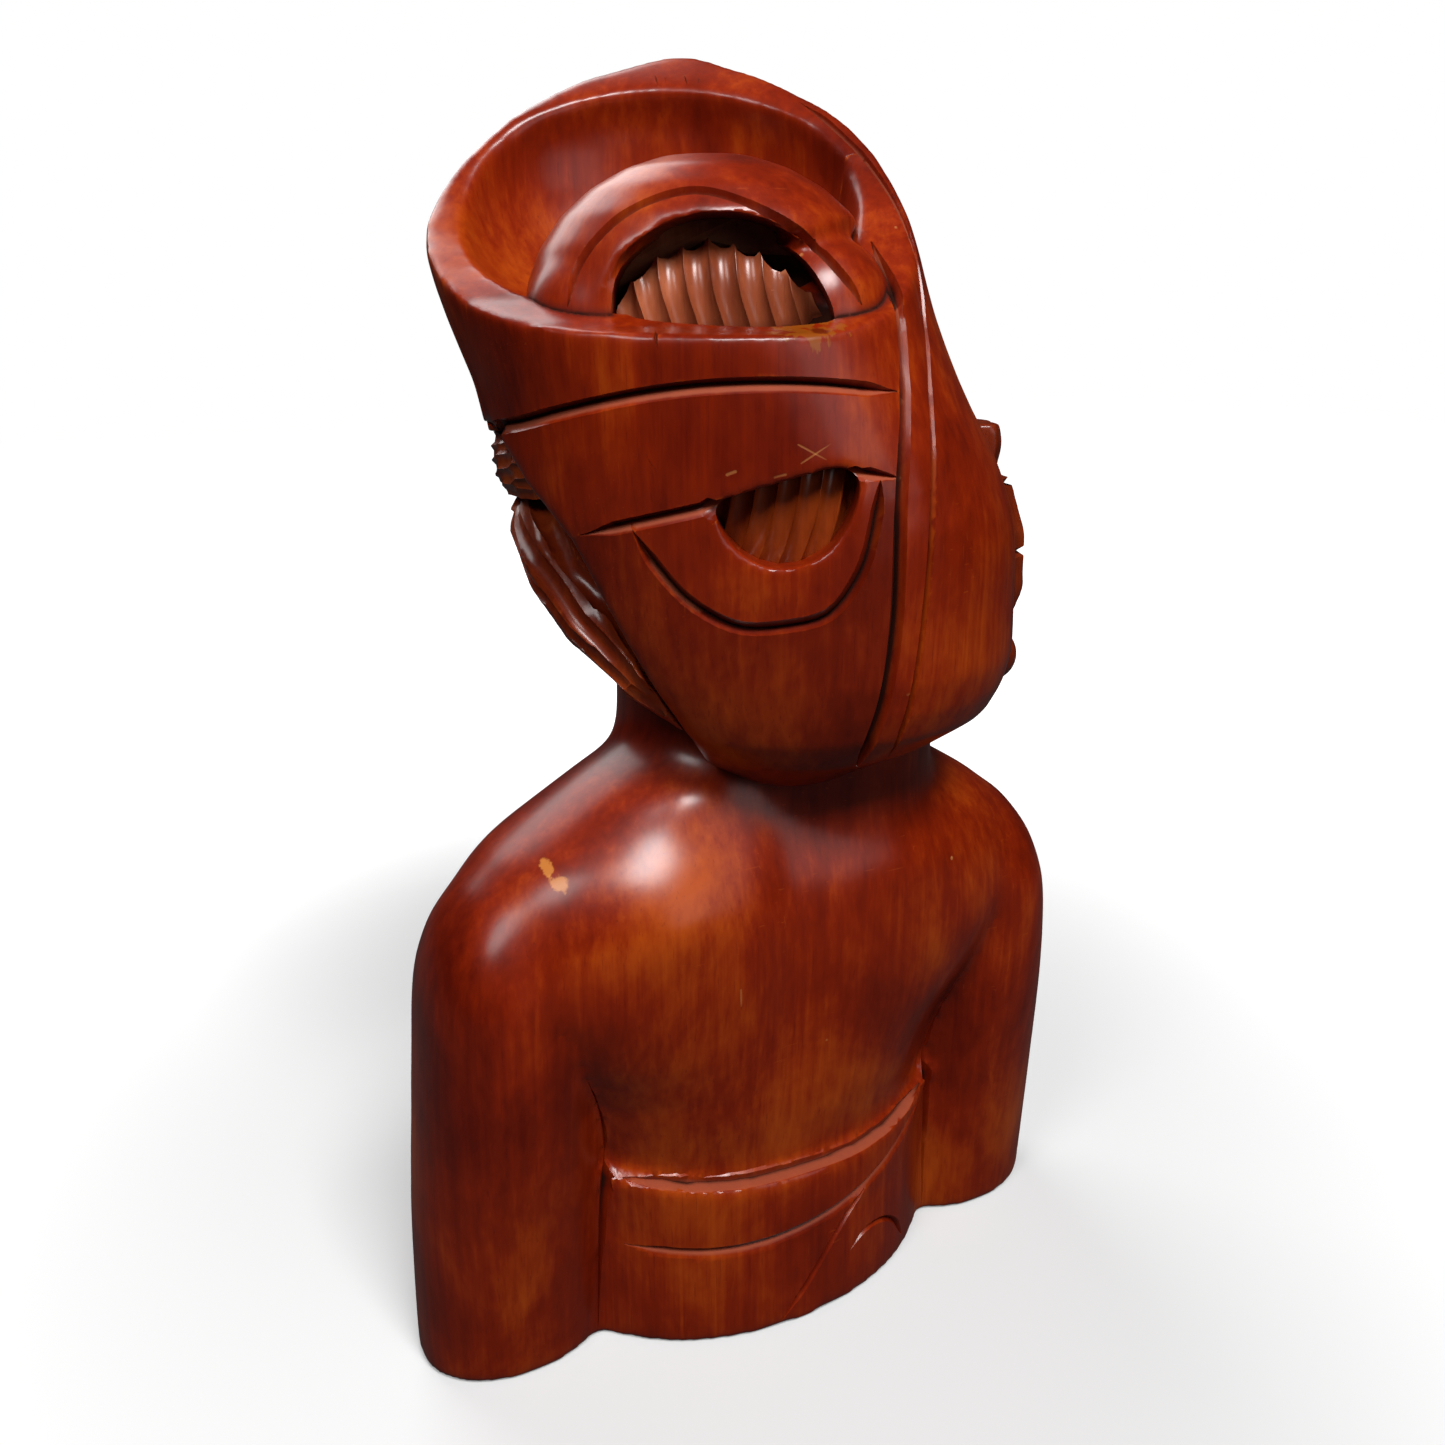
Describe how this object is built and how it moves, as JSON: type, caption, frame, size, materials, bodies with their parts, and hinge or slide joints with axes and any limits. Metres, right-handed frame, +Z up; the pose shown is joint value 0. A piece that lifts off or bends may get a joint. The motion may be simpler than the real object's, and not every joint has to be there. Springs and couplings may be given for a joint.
{
  "type": "carved wooden bust",
  "caption": "Free-standing carved hardwood bust of a woman, cut off at the arms, with a large turned head in a tall wrapped headcloth open at the crown.",
  "frame": {"origin": "on the floor, under the middle of the bust's width", "axes": "+Z up, -Y the way the chest faces, +X the figure's own left"},
  "size_m": [0.21, 0.1455, 0.3561],
  "materials": {
    "body_wood": "varnished",
    "cloth_wood": "varnished",
    "hair_wood": "gouge-cut, varnished",
    "dowel_wood": "bare"
  },
  "bodies": {
    "root": {"torso": "body_wood", "arm_left": "body_wood", "arm_right": "body_wood", "dress_band": "cloth_wood", "dress_skirt": "cloth_wood", "shoulder_dowels": "dowel_wood", "neck": "body_wood", "head": "body_wood", "side_roll_left": "hair_wood", "side_roll_right": "hair_wood", "temple_hair_left": "hair_wood", "temple_hair_right": "hair_wood", "wrap_back_panel": "cloth_wood", "wrap_crescent": "cloth_wood", "nape_hair": "hair_wood", "wrap_band_middle": "cloth_wood", "wrap_band_upper": "cloth_wood", "wrap_front": "cloth_wood", "wrap_crown": "cloth_wood", "wrap_arch": "cloth_wood", "crown_hair": "hair_wood", "wrap_strap": "cloth_wood", "wrap_drape": "cloth_wood"}
  },
  "joints": []
}
